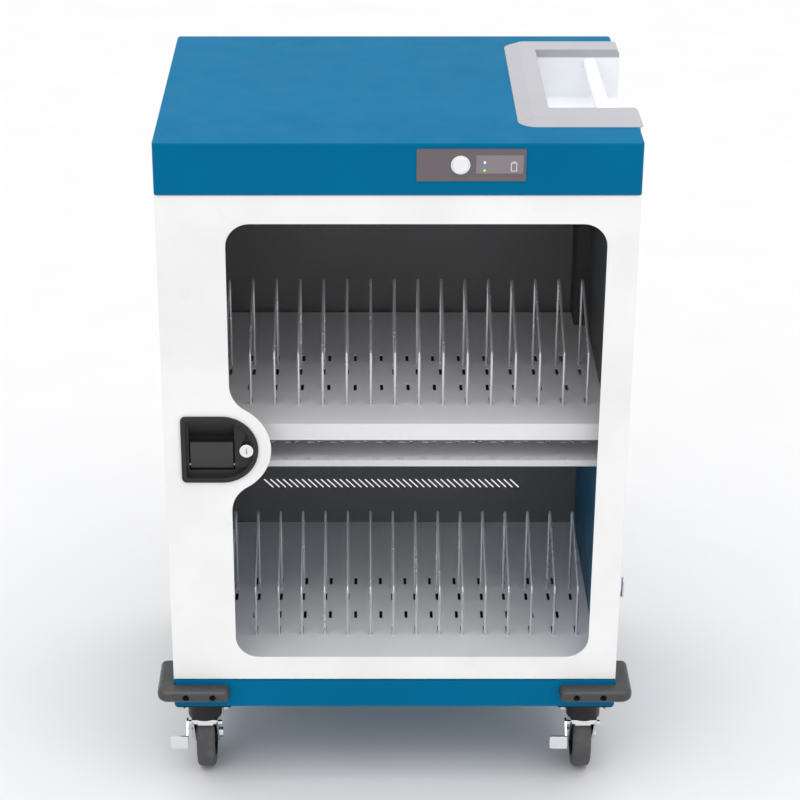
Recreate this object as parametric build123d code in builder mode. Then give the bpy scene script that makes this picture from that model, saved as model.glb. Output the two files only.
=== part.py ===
from build123d import *
from math import atan2, cos, degrees, radians, sin, sqrt
import os

# Tablet charging cart, in millimetres.
# X runs to the right, Y to the back and Z up.
# The origin is on the floor, under the middle of the cart.

# Overall sizes
cabinet_width = 650.0
cabinet_depth = 489.0
cap_height = 72.0
body_height = 759.0
base_height = 43.5
caster_height = 136.0
sheet = 1.5
corner_radius = 6.0
clearance = 0.3
running_fit = 0.05
cut_over = 1.0

# Cabinet body
door_setback = 2.0
door_thickness = 20.0
door_to_body = 5.0
side_wall_depth = 25.0
flange_width = 20.0
base_flange_width = 36.0
back_recess = 34.0
vent_count = 40
vent_pitch = 10.26
vent_width = 2.6
vent_reach = 13.2
vent_rise = 71.0

# Cap, label and switch
cap_edge_radius = 2.0
label_width = 145.0
label_height = 45.0
label_x = 96.9
label_drop = 30.1
label_thickness = 1.0
label_corner_radius = 2.0
insert_width = 63.0
insert_height = 25.7
insert_x = 134.5
insert_drop = 29.0
insert_proud = 0.3
lamp_radius = 1.6
lamp_length = 9.0
lamp_x = 114.5
lamp_first_drop = 26.2
lamp_pitch = 5.6
lamp_count = 3
switch_x = 82.7
switch_drop = 29.6
switch_ring_radius = 12.8
switch_ring_thickness = 1.6
button_radius = 10.6
button_proud = 2.6
button_thickness = 4.0
button_travel = 2.0
button_edge_radius = 1.0
switch_body_radius = 11.2
switch_body_depth = 26.0
board_width = 150.0
board_height = 56.0
board_thickness = 1.6
chip_width = 15.0
chip_height = 9.5
chip_thickness = 4.8
chip_pitch_x = 37.5
chip_pitch_z = 18.5
chip_columns = 3
chip_rows = 2
supply_width = 220.0
supply_depth = 130.0
supply_height = 45.0
supply_x = -140.0
supply_setback = 300.0
supply_corner_radius = 3.0
inlet_x = -230.0
inlet_width = 48.0
inlet_height = 27.0
inlet_socket_width = 25.0
inlet_socket_height = 17.0
inlet_depth = 26.0
inlet_socket_depth = 18.0
inlet_rim = 2.5
inlet_corner_radius = 3.0

# Handle
handle_left = 162.5
handle_front = 65.0
handle_back = 452.0
handle_rise = 9.0
handle_bevel = 21.0
handle_corner_radius = 26.0
handle_land_radius = 6.5
handle_overhang = 4.5
handle_edge_radius = 8.0
pocket_left = 206.0
pocket_front = 121.0
pocket_back = 390.0
pocket_wall = 3.0
pocket_corner_radius = 6.0
pocket_over = 40.0
grip_x = 286.0
grip_width = 20.0
grip_height = 15.0
grip_drop = 4.0
grip_radius = 6.0

# Door
door_side_gap = 0.5
door_end_gap = 1.5
door_lip = 12.0
door_edge_radius = 1.5
window_left_margin = 93.0
window_right_margin = 42.2
window_top_margin = 41.0
window_bottom_margin = 38.3
window_corner_radius = 33.0
pane_thickness = 3.0
pane_lap = 14.0
retainer_thickness = 2.0
retainer_setback = 3.0
hinge_pin_radius = 4.0
hinge_head_radius = 7.0
hinge_head_height = 3.0
hinge_inset = 10.0
hinge_bracket_height = 10.0
hinge_bracket_width = 16.0
hinge_bracket_corner = 2.0

# Lock
lock_width = 108.0
lock_height = 102.0
lock_left_margin = 23.7
lock_corner_radius = 7.0
lock_proud = 3.0
lock_rim = 6.5
lock_dish = 4.0
deep_dish_drop = 28.5
lock_body_inset = 6.0
lock_body_depth = 24.0
window_round_lock = 18.0
bite_fillet = 44.0
finger_pocket_width = 64.0
finger_pocket_depth = 19.0
finger_scoop_height = 28.0
finger_scoop_mouth = 2.0
finger_pocket_play = 2.0
paddle_width = 59.7
paddle_height = 44.0
paddle_thickness = 4.0
paddle_left_margin = 12.9
paddle_top_drop = 11.3
paddle_recess = 1.5
paddle_pin_radius = 2.0
paddle_pin_depth = 10.0
paddle_pin_overhang = 5.0
paddle_flare_height = 16.5
paddle_knuckle_radius = 5.5
key_radius = 10.0
key_proud = 3.0
key_edge_radius = 0.8
key_from_right = 16.5
key_drop = 2.1
key_slit_width = 1.6
key_slit_height = 9.0
key_slit_depth = 8.0
key_hollow_rise = 26.0
key_hollow_half_width = 10.0
key_hollow_depth = 5.0
crank_radius = 8.5
crank_pin_radius = 2.0
crank_disc_thickness = 3.5
bolt_throw = 12.0
bolt_thickness = 4.0
bolt_height = 16.0
bolt_end_height = 30.0
bolt_slot_play = 0.5
bolt_hole_play = 1.0
bolt_to_strike = 1.0
bolt_stand_off = 4.0
bolt_end_margin = 6.0
strike_height = 60.0
strike_width = 22.0

# Shelves
shelf_setback = 10.0
upper_shelf_back_gap = 21.0
upper_shelf_drop = 428.7
lower_shelf_rise = 19.0
shelf_lip = 25.6
shelf_side_gap = 0.8
ledge_width = 12.0
ledge_setback = 60.0
tray_drop = 57.8
tray_lip = 9.5
tray_hole_pitch = 33.0
tray_hole_radius = 3.3
tray_dash_length = 10.6
tray_dash_width = 3.0
tray_dash_shift = 20.5
tray_hole_count = 14
tray_hole_shift = 40.0
tray_back_row = 95.0
tray_front_row = 43.0
hub_width = 460.0
hub_depth = 110.0
hub_height = 25.0
hub_setback = 300.0
hub_port_width = 12.6
hub_port_height = 5.2
hub_port_depth = 9.0
duct_width = 21.0
duct_depth = 72.0

# Dividers
divider_count = 16
divider_pitch = 34.38
divider_shift = 16.4
divider_radius = 2.0
divider_front = 100.0
divider_back = 238.0
divider_front_rise = 78.7
divider_back_rise = 143.0
divider_bend_radius = 9.0
slot_width = 4.5
slot_length = 22.0
slot_corner_radius = 1.0
divider_slot_rows = (115.0, 213.0)
cable_slot_rows = (159.0, 261.0)
cable_slot_count = 14
cable_slot_pitch = 38.46

# Bumpers
bumper_proud = 23.0
bumper_front_leg = 83.0
bumper_side_leg = 72.0
bumper_height = 18.5
bumper_drop = 6.5
bumper_corner_radius = 16.0
bumper_end_radius = 9.0
bumper_edge_radius = 7.0
bumper_screw_places = (19.5, 58.5)
screw_recess_radius = 5.0
screw_recess_depth = 9.0
screw_head_radius = 4.6
screw_head_height = 4.0
screw_shank_radius = 2.5
screw_shank_length = 20.0
screw_socket_floor = 1.0

# Cord hook on the right side
hook_setback = 92.0
hook_rise = 106.0
hook_width = 14.0
hook_height = 28.0
hook_reach = 15.0
hook_thickness = 2.0

# Casters
caster_inset = 43.0
caster_setback = 31.0
caster_trail = 30.0
wheel_radius = 50.0
wheel_width = 27.0
tread_thickness = 11.0
tread_radius = 5.0
hub_rim = 4.0
hub_web = 9.0
hub_boss_radius = 13.0
axle_radius = 5.0
axle_head_radius = 8.0
axle_head_length = 4.5
fork_gap = 3.0
fork_thickness = 3.0
fork_top_thickness = 4.0
fork_half_length = 22.0
fork_end_radius = 13.0
fork_corner_radius = 3.0
wheel_headroom = 5.0
bowl_radius = 25.0
plate_length = 84.0
plate_width = 60.0
plate_thickness = 3.0
plate_hole_spacing_x = 66.0
plate_hole_spacing_y = 44.0
plate_corner_radius = 6.0
plate_bolt_reach = 9.0
plate_bolt_radius = 4.0
plate_bolt_head_radius = 6.5
plate_bolt_head_height = 5.0
kingpin_radius = 6.0
kingpin_head_radius = 10.0
kingpin_head_height = 3.0
brake_shaft_radius = 3.5
brake_shaft_forward = 7.0
brake_shaft_gap = 5.9732
brake_cam_offset = 3.0
brake_cam_radius = 3.0
brake_cam_turn = 50.0
brake_cam_inset = 2.0
brake_tongue_radius = 4.0
brake_arm_drop = 20.0
brake_arm_forward = 18.0
brake_arm_radius = 7.0
brake_tongue_width = 26.0
brake_tongue_height = 21.0
brake_plate = 3.0

# Levels and places that follow from the sizes above
half_width = cabinet_width / 2
front = -cabinet_depth / 2
back = cabinet_depth / 2
base_bottom = caster_height
base_top = base_bottom + base_height
cap_bottom = base_top + body_height
cap_top = cap_bottom + cap_height

door_front = front + door_setback
door_back = door_front + door_thickness
door_left = -half_width + door_side_gap
door_right = half_width - door_side_gap
door_bottom = base_top + door_end_gap
door_top = cap_bottom - door_end_gap
hinge_x = door_right - hinge_inset
hinge_y = door_front + door_thickness / 2

body_front = door_back + door_to_body
liner_x = half_width - side_wall_depth
back_panel_y = back - back_recess
floor_top = cap_bottom + sheet

upper_shelf_top = cap_top - upper_shelf_drop
lower_shelf_top = base_top + lower_shelf_rise
shelf_half_width = liner_x - shelf_side_gap
shelf_front = body_front + shelf_setback
tray_top = upper_shelf_top - tray_drop
ledge_top = upper_shelf_top - shelf_lip

window_left = door_left + window_left_margin
window_right = door_right - window_right_margin
window_top = door_top - window_top_margin
window_bottom = door_bottom + window_bottom_margin

lock_left = door_left + lock_left_margin
lock_right = lock_left + lock_width
lock_round = lock_height / 2
lock_centre_x = lock_right - lock_round
lock_z = (door_bottom + door_top) / 2
lock_front = door_front - lock_proud
dish_y = lock_front + lock_dish
lock_back = door_front + lock_body_depth
key_x = lock_right - key_from_right
key_z = lock_z - key_drop
paddle_left = lock_left + paddle_left_margin
paddle_right = paddle_left + paddle_width
paddle_top = lock_z + paddle_top_drop
paddle_front = lock_front + paddle_recess
paddle_pin_y = paddle_front + paddle_pin_depth
paddle_pin_z = paddle_top - paddle_height + paddle_knuckle_radius
strike_back = body_front + 2 * sheet
bolt_front = strike_back + bolt_to_strike
bolt_back = bolt_front + bolt_thickness
bolt_tip = -liner_x + bolt_stand_off

divider_places = [
    divider_shift + divider_pitch * (number - (divider_count - 1) / 2) for number in range(divider_count)
]
cable_slot_places = [
    cable_slot_pitch * (number - (cable_slot_count - 1) / 2) for number in range(cable_slot_count)
]
sides = {"left": -1, "right": 1}
corners = {"front_left": (-1, -1), "front_right": (1, -1), "rear_left": (-1, 1), "rear_right": (1, 1)}


def upright(y):
    """The plane across the cart at depth y, with X to the right and Z up."""
    return Plane.XZ.offset(-y)


def block(x_one, x_two, y_one, y_two, z_one, z_two, mode=Mode.ADD):
    """A box between two corners, added to the part being built or cut from it."""
    with Locations(((x_one + x_two) / 2, (y_one + y_two) / 2, (z_one + z_two) / 2)):
        Box(abs(x_two - x_one), abs(y_two - y_one), abs(z_two - z_one), mode=mode)


def save(piece, node):
    """Label a finished piece and write its file."""
    piece.part.label = node
    export_step(piece.part, f"parts/{node}.step")


def caster_places():
    """The swivel axis of each caster: place, X, Y and the Y of its wheel."""
    for place, (side, end) in corners.items():
        x = side * (half_width - caster_inset)
        y = end * (cabinet_depth / 2 - caster_setback)
        yield place, x, y, y - end * caster_trail


os.makedirs("parts", exist_ok=True)

# Base tray: a shallow box with a flange turned in round its top
with BuildPart() as base_tray:
    with BuildSketch(Plane.XY.offset(base_bottom)):
        RectangleRounded(cabinet_width, cabinet_depth, corner_radius)
    extrude(amount=base_height)
    with BuildSketch(Plane.XY.offset(base_bottom + sheet)):
        RectangleRounded(cabinet_width - 2 * sheet, cabinet_depth - 2 * sheet, corner_radius - sheet)
    extrude(amount=base_height - 2 * sheet, mode=Mode.SUBTRACT)
    with BuildSketch(Plane.XY.offset(base_top - sheet)):
        Rectangle(cabinet_width - 2 * base_flange_width, cabinet_depth - 2 * base_flange_width)
        with Locations((hinge_x, hinge_y)):
            Circle(hinge_pin_radius + clearance)
    extrude(amount=sheet, mode=Mode.SUBTRACT)
    with BuildSketch(Plane.XY.offset(base_bottom)):
        for place, x, y, wheel_y in caster_places():
            with Locations((x, y)):
                with GridLocations(plate_hole_spacing_x, plate_hole_spacing_y, 2, 2):
                    Circle(plate_bolt_radius + running_fit)
    extrude(amount=sheet, mode=Mode.SUBTRACT)
    with BuildSketch(upright(front)):
        with Locations(*[
            (side * (half_width - inset), base_top - bumper_drop - bumper_height / 2)
            for side in sides.values() for inset in bumper_screw_places
        ]):
            Circle(screw_shank_radius + running_fit)
    extrude(amount=-cabinet_depth, mode=Mode.SUBTRACT)
    with BuildSketch(Plane.YZ.offset(-half_width)):
        with Locations(*[
            (end * (cabinet_depth / 2 - inset), base_top - bumper_drop - bumper_height / 2)
            for end in (-1, 1) for inset in bumper_screw_places
        ]):
            Circle(screw_shank_radius + running_fit)
    extrude(amount=cabinet_width, mode=Mode.SUBTRACT)
save(base_tray, "base_tray")

# Side panels: outer skins with flanges turned in at the front, back, top and bottom
for side_name, side in sides.items():
    with BuildPart() as side_panel:
        skin = side * half_width
        block(skin, side * (half_width - sheet), body_front, back, base_top, cap_bottom)
        block(skin, side * liner_x, body_front, body_front + sheet, base_top, cap_bottom)
        block(skin, side * (half_width - flange_width), back - sheet, back, base_top, cap_bottom)
        block(skin, side * (half_width - flange_width), body_front, back, base_top, base_top + sheet)
        block(skin, side * (half_width - flange_width), body_front, back, cap_bottom - sheet, cap_bottom)
    save(side_panel, f"{side_name}_side_panel")

# Liners: inner side walls, each with a ledge that carries the upper shelf
for side_name, side in sides.items():
    with BuildPart() as liner:
        block(side * liner_x, side * (liner_x + sheet), body_front + sheet, back_panel_y,
              base_top, cap_bottom)
        block(side * liner_x, side * (liner_x - ledge_width), front + ledge_setback,
              back_panel_y - upper_shelf_back_gap, ledge_top - sheet, ledge_top)
        if side < 0:
            # Slot through which the bolt reaches the strike plate
            block(-liner_x, -liner_x - sheet, strike_back, bolt_back + bolt_hole_play,
                  key_z - bolt_height / 2 - bolt_hole_play, key_z + bolt_height / 2 + bolt_hole_play,
                  Mode.SUBTRACT)
    save(liner, f"{side_name}_liner")

# Back panel, with its row of slanted vents in the lower bay
with BuildPart() as back_panel:
    panel_half = half_width - sheet
    block(-panel_half, panel_half, back_panel_y, back_panel_y + sheet, base_top, cap_bottom)
    for side in sides.values():
        block(side * panel_half, side * (panel_half - sheet), back_panel_y, back_panel_y + flange_width,
              base_top + sheet, cap_bottom - sheet)
        # Corners notched round the side panels' flanges
        for level, way in ((base_top, 1), (cap_bottom, -1)):
            block(side * panel_half, side * (half_width - flange_width), back_panel_y, back_panel_y + sheet,
                  level, level + way * sheet, Mode.SUBTRACT)
    with BuildSketch(upright(back_panel_y)):
        for number in range(vent_count):
            with Locations((vent_pitch * (number - (vent_count - 1) / 2), lower_shelf_top + vent_rise)):
                SlotCenterToCenter(vent_reach * sqrt(2), vent_width, rotation=-45)
    extrude(amount=-sheet, mode=Mode.SUBTRACT)
save(back_panel, "back_panel")

# Cap floor: closes the tablet bay and carries the electronics
with BuildPart() as cap_floor:
    with BuildSketch(Plane.XY.offset(cap_bottom)):
        RectangleRounded(cabinet_width - 2 * sheet, cabinet_depth - 2 * sheet, corner_radius - sheet)
        with Locations((hinge_x, hinge_y)):
            Circle(hinge_pin_radius + clearance, mode=Mode.SUBTRACT)
    extrude(amount=sheet)
save(cap_floor, "cap_floor")

# Cap: a pan turned upside down, open where the handle housing drops in
with BuildPart() as top_cap:
    with BuildSketch(Plane.XY.offset(cap_bottom)):
        RectangleRounded(cabinet_width, cabinet_depth, corner_radius)
    extrude(amount=cap_height)
    fillet(top_cap.faces().sort_by(Axis.Z)[-1].edges(), cap_edge_radius)
    with BuildSketch(Plane.XY.offset(cap_bottom)):
        RectangleRounded(cabinet_width - 2 * sheet, cabinet_depth - 2 * sheet, corner_radius - sheet)
    extrude(amount=cap_height - sheet, mode=Mode.SUBTRACT)
    block(pocket_left - pocket_wall - clearance, half_width + cut_over,
          front + pocket_front - pocket_wall - clearance, front + pocket_back + pocket_wall + clearance,
          cap_bottom, cap_top + cut_over, Mode.SUBTRACT)
    with BuildSketch(upright(front)):
        with Locations((switch_x, cap_top - switch_drop)):
            Circle(switch_body_radius + clearance)
        with Locations(*[
            (lamp_x, cap_top - lamp_first_drop - lamp_pitch * number) for number in range(lamp_count)
        ]):
            Circle(lamp_radius + running_fit)
    extrude(amount=-sheet, mode=Mode.SUBTRACT)
    block(inlet_x - inlet_width / 2 + inlet_rim, inlet_x + inlet_width / 2 - inlet_rim, back - sheet, back,
          (cap_top + cap_bottom - inlet_height) / 2 + inlet_rim,
          (cap_top + cap_bottom + inlet_height) / 2 - inlet_rim, Mode.SUBTRACT)
save(top_cap, "top_cap")

# Handle housing: a bevelled rim on the cap and a tub below it, open to the right side
with BuildPart() as handle_housing:
    rim_right = half_width + handle_overhang
    rim_middle_y = front + (handle_front + handle_back) / 2
    rim_depth = handle_back - handle_front
    reach = 2 * handle_corner_radius
    with BuildSketch(Plane.XY.offset(cap_top)):
        with Locations(((handle_left + rim_right + reach) / 2, rim_middle_y)):
            RectangleRounded(rim_right + reach - handle_left, rim_depth, handle_corner_radius)
    with BuildSketch(Plane.XY.offset(cap_top + handle_rise)):
        with Locations(((handle_left + handle_bevel + rim_right + reach) / 2, rim_middle_y)):
            RectangleRounded(rim_right + reach - handle_left - handle_bevel, rim_depth - 2 * handle_bevel,
                             handle_land_radius)
    loft()
    block(rim_right, rim_right + 2 * reach, front, back, cap_top - cut_over, cap_top + handle_rise + cut_over,
          Mode.SUBTRACT)
    # Tub walls and floor
    block(pocket_left - pocket_wall, rim_right, front + pocket_front - pocket_wall,
          front + pocket_back + pocket_wall, floor_top, cap_top)
    # Side arms that cover the cap's cut edges
    block(half_width, rim_right, front + handle_front + handle_bevel,
          front + handle_back - handle_bevel, floor_top, cap_top)
    with BuildSketch(Plane.YZ.offset(rim_right)):
        with Locations((front + (pocket_front + pocket_back) / 2,
                        (floor_top + pocket_wall + cap_top + pocket_over) / 2)):
            RectangleRounded(pocket_back - pocket_front, cap_top + pocket_over - floor_top - pocket_wall,
                             pocket_corner_radius)
    extrude(amount=-(rim_right - pocket_left), mode=Mode.SUBTRACT)
    rim_edges = handle_housing.edges().filter_by(Axis.Y).group_by(Axis.Z)[-1].sort_by(Axis.X)[-2:]
    fillet(rim_edges, handle_edge_radius)
save(handle_housing, "handle_housing")

# Grip bar across the pocket
with BuildPart() as grip_bar:
    grip_z = cap_top - grip_drop - grip_height / 2
    with BuildSketch(upright(front + pocket_front)):
        with Locations((grip_x, grip_z)):
            RectangleRounded(grip_width, grip_height, grip_radius)
    extrude(amount=-(pocket_back - pocket_front))
save(grip_bar, "grip_bar")

# Label panel on the cap's front skirt, open for the display insert, the lamps and the switch
label_z = cap_top - label_drop
with BuildPart() as label_panel:
    with BuildSketch(upright(front)):
        with Locations((label_x, label_z)):
            RectangleRounded(label_width, label_height, label_corner_radius)
        with Locations((insert_x, cap_top - insert_drop)):
            Rectangle(insert_width, insert_height, mode=Mode.SUBTRACT)
        with Locations((switch_x, cap_top - switch_drop)):
            Circle(switch_body_radius + clearance, mode=Mode.SUBTRACT)
    extrude(amount=label_thickness)
save(label_panel, "label_panel")

with BuildPart() as display_insert:
    with BuildSketch(upright(front)):
        with Locations((insert_x, cap_top - insert_drop)):
            Rectangle(insert_width, insert_height)
        with Locations(*[
            (lamp_x, cap_top - lamp_first_drop - lamp_pitch * number) for number in range(lamp_count)
        ]):
            Circle(lamp_radius + running_fit, mode=Mode.SUBTRACT)
    extrude(amount=label_thickness + insert_proud)
save(display_insert, "display_insert")

with BuildPart() as status_lamps:
    with BuildSketch(upright(front - label_thickness - 2 * insert_proud)):
        with Locations(*[
            (lamp_x, cap_top - lamp_first_drop - lamp_pitch * number) for number in range(lamp_count)
        ]):
            Circle(lamp_radius)
    extrude(amount=-lamp_length)
save(status_lamps, "status_lamps")

# Power switch: ring in front of the label, hollow body behind it, and the moving button
ring_front = front - label_thickness - switch_ring_thickness
with BuildPart() as power_switch:
    with BuildSketch(upright(front - label_thickness)):
        with Locations((switch_x, cap_top - switch_drop)):
            Circle(switch_ring_radius)
    extrude(amount=switch_ring_thickness)
    with BuildSketch(upright(front - label_thickness)):
        with Locations((switch_x, cap_top - switch_drop)):
            Circle(switch_body_radius)
    extrude(amount=-switch_body_depth)
    with BuildSketch(upright(ring_front)):
        with Locations((switch_x, cap_top - switch_drop)):
            Circle(button_radius + running_fit)
    extrude(amount=-(button_thickness - button_proud + button_travel + clearance), mode=Mode.SUBTRACT)
save(power_switch, "power_switch")

with BuildPart() as power_button:
    with BuildSketch(upright(ring_front - button_proud)):
        with Locations((switch_x, cap_top - switch_drop)):
            Circle(button_radius)
    extrude(amount=-button_thickness)
    fillet(power_button.faces().sort_by(Axis.Y)[0].edges(), button_edge_radius)
save(power_button, "power_button")

# Control board, upright behind the switch
with BuildPart() as control_board:
    board_y = front - label_thickness + switch_body_depth
    block(label_x - board_width / 2, label_x + board_width / 2, board_y, board_y + board_thickness,
          floor_top, floor_top + board_height)
    with BuildSketch(upright(board_y + board_thickness)):
        with Locations((label_x, floor_top + board_height / 2)):
            with GridLocations(chip_pitch_x, chip_pitch_z, chip_columns, chip_rows):
                Rectangle(chip_width, chip_height)
    extrude(amount=-chip_thickness)
save(control_board, "control_board")

with BuildPart() as power_supply:
    supply_middle = front + supply_setback
    block(supply_x - supply_width / 2, supply_x + supply_width / 2, supply_middle - supply_depth / 2,
          supply_middle + supply_depth / 2, floor_top, floor_top + supply_height)
    fillet(power_supply.edges().filter_by(Axis.Z), supply_corner_radius)
save(power_supply, "power_supply")

# Mains inlet in the cap's rear skirt: flange outside, with a socket for the mains lead
inlet_z = (cap_top + cap_bottom) / 2
with BuildPart() as mains_inlet:
    with BuildSketch(upright(back)):
        with Locations((inlet_x, inlet_z)):
            RectangleRounded(inlet_width, inlet_height, inlet_corner_radius)
    extrude(amount=-inlet_rim)
    with BuildSketch(upright(back)):
        with Locations((inlet_x, inlet_z)):
            RectangleRounded(inlet_width - 2 * inlet_rim - 2 * clearance,
                             inlet_height - 2 * inlet_rim - 2 * clearance, inlet_corner_radius)
    extrude(amount=inlet_depth)
    with BuildSketch(upright(back + inlet_rim)):
        with Locations((inlet_x, inlet_z)):
            RectangleRounded(inlet_socket_width, inlet_socket_height, inlet_corner_radius)
    extrude(amount=inlet_socket_depth, mode=Mode.SUBTRACT)
save(mains_inlet, "mains_inlet")


def shelf(top, lip, back_edge):
    """A shelf plate with its lips turned down and its rows of slots."""
    middle = (shelf_front + back_edge) / 2
    length = back_edge - shelf_front
    with BuildPart() as plate:
        with BuildSketch(Plane.XY.offset(top - lip)):
            with Locations((0, middle)):
                Rectangle(2 * shelf_half_width, length)
        extrude(amount=lip)
        with BuildSketch(Plane.XY.offset(top - lip)):
            with Locations((0, middle)):
                Rectangle(2 * (shelf_half_width - sheet), length - 2 * sheet)
        extrude(amount=lip - sheet, mode=Mode.SUBTRACT)
        with BuildSketch(Plane.XY.offset(top - sheet)):
            for row in divider_slot_rows:
                with Locations(*[(x, front + row) for x in divider_places]):
                    RectangleRounded(slot_width, slot_length, slot_corner_radius)
            for row in cable_slot_rows:
                with Locations(*[(x, front + row) for x in cable_slot_places]):
                    RectangleRounded(slot_width, slot_length, slot_corner_radius)
        extrude(amount=sheet, mode=Mode.SUBTRACT)
    return plate


upper_shelf = shelf(upper_shelf_top, shelf_lip, back_panel_y - upper_shelf_back_gap)
save(upper_shelf, "upper_shelf")
lower_shelf = shelf(lower_shelf_top, lower_shelf_top - base_top, back_panel_y - shelf_side_gap)
save(lower_shelf, "lower_shelf")

# Cable tray: hung under the ledges, its plate perforated near the open front
with BuildPart() as cable_tray:
    tray_back = back_panel_y - upper_shelf_back_gap
    block(-shelf_half_width, shelf_half_width, shelf_front, tray_back, tray_top - sheet, tray_top)
    block(-shelf_half_width, shelf_half_width, shelf_front, shelf_front + sheet,
          tray_top - tray_lip, tray_top)
    block(-shelf_half_width, shelf_half_width, tray_back - sheet, tray_back,
          tray_top - sheet, ledge_top - sheet)
    for side in sides.values():
        block(side * shelf_half_width, side * (shelf_half_width - sheet), front + ledge_setback, tray_back,
              tray_top - sheet, ledge_top - sheet)
    with BuildSketch(Plane.XY.offset(tray_top - sheet)):
        for number in range(tray_hole_count):
            x = tray_hole_shift + tray_hole_pitch * (number - (tray_hole_count - 1) / 2)
            with Locations((x, front + tray_back_row)):
                Circle(tray_hole_radius)
            with Locations((x + tray_dash_shift, front + tray_back_row)):
                SlotOverall(tray_dash_length, tray_dash_width)
            with Locations((x + tray_hole_pitch / 2, front + tray_front_row)):
                SlotOverall(tray_dash_length, tray_dash_width)
    extrude(amount=sheet, mode=Mode.SUBTRACT)
save(cable_tray, "cable_tray")


def dividers(shelf_top):
    """One bent wire beside each slot: two upright legs and a sloping top."""
    with BuildPart() as wires:
        for x in divider_places:
            with BuildLine(Plane.YZ.offset(x)):
                path = FilletPolyline(
                    (front + divider_front, shelf_top),
                    (front + divider_front, shelf_top + divider_front_rise),
                    (front + divider_back, shelf_top + divider_back_rise),
                    (front + divider_back, shelf_top),
                    radius=divider_bend_radius,
                )
            with BuildSketch(Plane.XY.offset(shelf_top)):
                with Locations((x, front + divider_front)):
                    Circle(divider_radius)
            sweep(path=path)
    return wires


upper_dividers = dividers(upper_shelf_top)
save(upper_dividers, "upper_dividers")
lower_dividers = dividers(lower_shelf_top)
save(lower_dividers, "lower_dividers")


def hub(bottom):
    """A charging hub: a flat box with a row of ports along its front."""
    with BuildPart() as box:
        middle = front + hub_setback
        block(-hub_width / 2, hub_width / 2, middle - hub_depth / 2, middle + hub_depth / 2,
              bottom, bottom + hub_height)
        with BuildSketch(upright(middle - hub_depth / 2)):
            with Locations((0, bottom + hub_height / 2)):
                with GridLocations(hub_width / (divider_count + 1), 1, divider_count, 1):
                    Rectangle(hub_port_width, hub_port_height)
        extrude(amount=-hub_port_depth, mode=Mode.SUBTRACT)
    return box


upper_usb_hub = hub(tray_top)
save(upper_usb_hub, "upper_usb_hub")
lower_usb_hub = hub(base_bottom + sheet)
save(lower_usb_hub, "lower_usb_hub")

# Wiring duct: an angle that closes the upper bay's right rear corner
with BuildPart() as wiring_duct:
    duct_left = liner_x - duct_width
    duct_front = back_panel_y - duct_depth
    block(duct_left, duct_left + sheet, duct_front, back_panel_y, upper_shelf_top, cap_bottom)
    block(duct_left, liner_x, duct_front, duct_front + sheet, upper_shelf_top, cap_bottom)
save(wiring_duct, "wiring_duct")


def window_face(depth, grow):
    """The door window's outline as a sketch at a depth, grown outwards by a margin."""
    edge = window_left - grow
    lock_arc = lock_round + window_round_lock - grow
    fillet_arc = bite_fillet + grow
    run = edge + fillet_arc - lock_centre_x
    rise = sqrt((lock_arc + fillet_arc) ** 2 - run ** 2)
    turn = degrees(atan2(rise, run))
    with BuildSketch(upright(depth)) as outline:
        with Locations(((window_left + window_right) / 2, (window_bottom + window_top) / 2)):
            RectangleRounded(window_right - window_left + 2 * grow, window_top - window_bottom + 2 * grow,
                             window_corner_radius + grow)
        with BuildLine():
            entry = JernArc((edge, lock_z + rise), (0, -1), fillet_arc, turn)
            round_lock = JernArc(entry @ 1, entry % 1, lock_arc, -2 * turn)
            leave = JernArc(round_lock @ 1, round_lock % 1, fillet_arc, turn)
            Polyline(leave @ 1, (edge - lock_arc, lock_z - rise), (edge - lock_arc, lock_z + rise), entry @ 0)
        make_face(mode=Mode.SUBTRACT)
    return outline.sketch


def lock_face(depth, inset):
    """The lock's outline at a depth, half round at the right, drawn in by an inset."""
    radius = lock_round - inset
    with BuildSketch(upright(depth)) as outline:
        with BuildLine():
            Polyline((lock_centre_x, lock_z + radius), (lock_left + inset, lock_z + radius),
                     (lock_left + inset, lock_z - radius), (lock_centre_x, lock_z - radius))
            ThreePointArc((lock_centre_x, lock_z - radius), (lock_centre_x + radius, lock_z),
                          (lock_centre_x, lock_z + radius))
        make_face()
        fillet(outline.vertices().group_by(Axis.X)[0], lock_corner_radius - inset / 2)
    return outline.sketch


# Door: a pan with its flanges turned back and in, open for the window and the lock
with BuildPart() as door_panel:
    with BuildSketch(upright(door_front)):
        with Locations(((door_left + door_right) / 2, (door_bottom + door_top) / 2)):
            Rectangle(door_right - door_left, door_top - door_bottom)
    extrude(amount=-door_thickness)
    fillet(door_panel.faces().sort_by(Axis.Y)[0].edges(), door_edge_radius)
    block(door_left + sheet, door_right - sheet, door_front + sheet, door_back - sheet,
          door_bottom + sheet, door_top - sheet, Mode.SUBTRACT)
    block(door_left + door_lip, door_right - door_lip, door_back - sheet, door_back,
          door_bottom + door_lip, door_top - door_lip, Mode.SUBTRACT)
    extrude(window_face(door_front, 0), amount=-sheet, mode=Mode.SUBTRACT)
    extrude(lock_face(door_front, lock_body_inset - clearance), amount=-sheet, mode=Mode.SUBTRACT)
    with BuildSketch(Plane.XY.offset(door_bottom)):
        with Locations((hinge_x, hinge_y)):
            Circle(hinge_pin_radius + running_fit)
    extrude(amount=door_top - door_bottom, mode=Mode.SUBTRACT)
save(door_panel, "door_panel")

with BuildPart() as door_window:
    extrude(window_face(door_front + sheet, pane_lap), amount=-pane_thickness)
save(door_window, "door_window")

with BuildPart() as window_retainer:
    behind_pane = door_front + sheet + pane_thickness
    extrude(window_face(behind_pane, pane_lap), amount=-retainer_thickness)
    extrude(window_face(behind_pane, retainer_setback), amount=-retainer_thickness, mode=Mode.SUBTRACT)
save(window_retainer, "window_retainer")

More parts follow.
